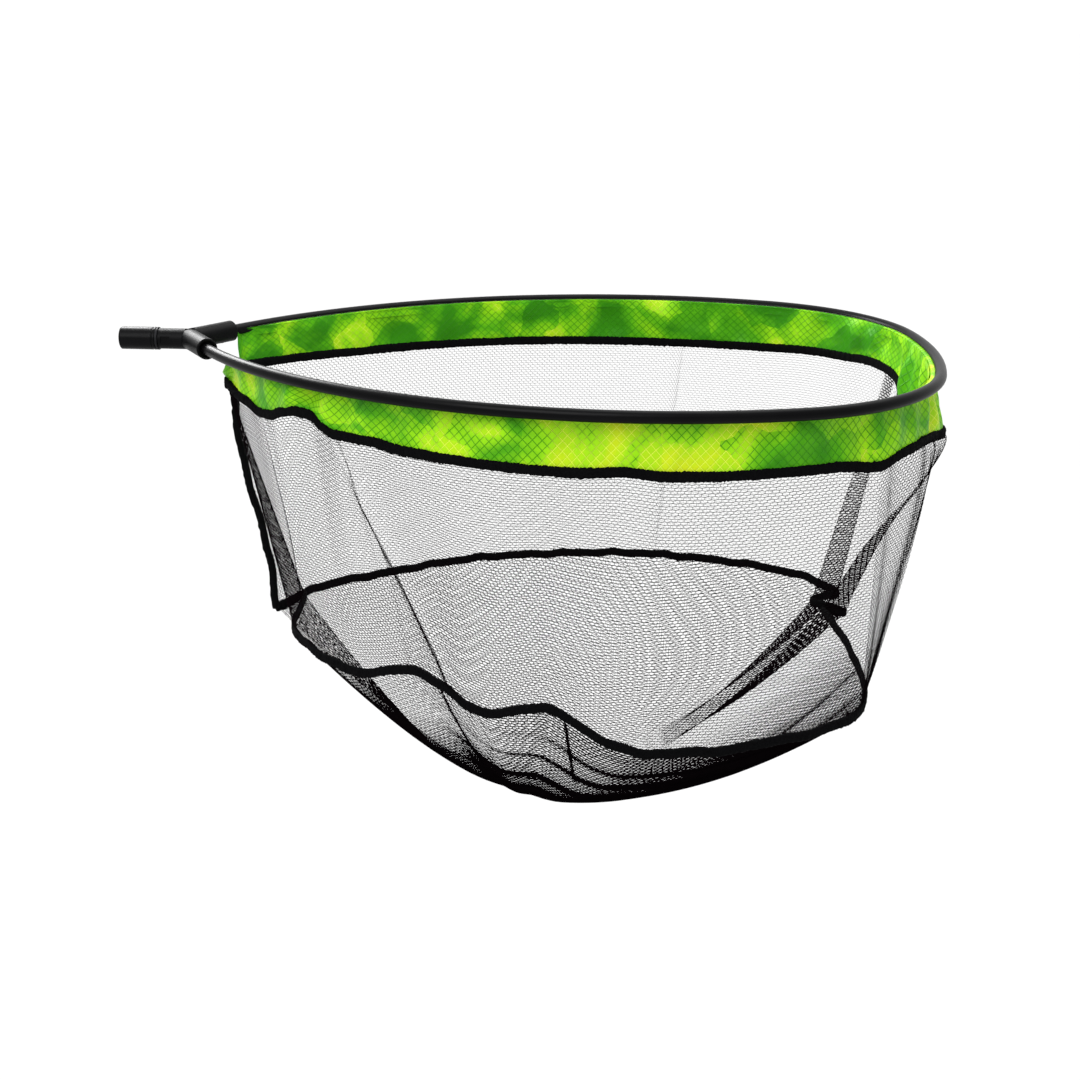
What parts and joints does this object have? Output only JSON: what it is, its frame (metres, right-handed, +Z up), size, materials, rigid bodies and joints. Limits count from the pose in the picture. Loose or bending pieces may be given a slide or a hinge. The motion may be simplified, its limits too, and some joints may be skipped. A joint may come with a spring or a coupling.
{
  "type": "landing net head",
  "caption": "Landing net head with a rounded triangular slotted hoop in a forked yoke, a bright fabric band, a shallow mesh bag and a screw-on handle ferrule.",
  "frame": {"origin": "centre of the pole socket's mouth, at the rear end of the ferrule", "axes": "+X along the handle axis towards the tip of the hoop, +Z up out of the net's mouth, +Y to the left seen from the handle"},
  "size_m": [0.69, 0.4594, 0.4231],
  "materials": {
    "black_anodised": "satin",
    "brass": "machined",
    "black_nylon": "moulded satin",
    "zinc_steel": "zinc plated",
    "black_steel": "blackened",
    "hoop_aluminium": "dark anodised, satin",
    "cord_pvc": "extruded",
    "green_ripstop": "coated ripstop",
    "black_tape": "woven tape",
    "black_mesh": "knitted hexagonal mesh"
  },
  "bodies": {
    "handle": {"handle_ferrule": "black_anodised", "thread_insert": "brass"},
    "washer": {"thread_washer": "black_nylon"},
    "head": {"thread_stud": "zinc_steel", "stud_screw": "black_steel", "stud_nut": "zinc_steel", "yoke": "black_nylon", "hoop_tube": "hoop_aluminium", "hoop_screws": "black_steel", "keder_cord": "cord_pvc", "keder_tape": "green_ripstop", "band_fabric": "green_ripstop", "band_binding": "black_tape", "wall_mesh": "black_mesh", "wall_seam_binding": "black_tape", "base_binding": "black_tape", "base_mesh": "black_mesh"}
  },
  "joints": [
    {"name": "thread_advance", "type": "slide", "parent": "handle", "child": "washer", "axis": [1, 0, 0], "range_m": [0, 0.01143]},
    {"name": "head_turn", "type": "hinge", "parent": "washer", "child": "head", "pos_m": [0.033, 0, 0], "axis": [1, 0, 0], "range_deg": [0, 3240]}
  ],
  "couplings": [
    {"joint": "thread_advance", "follows": "head_turn", "m_per_rad": 0.00020213}
  ]
}
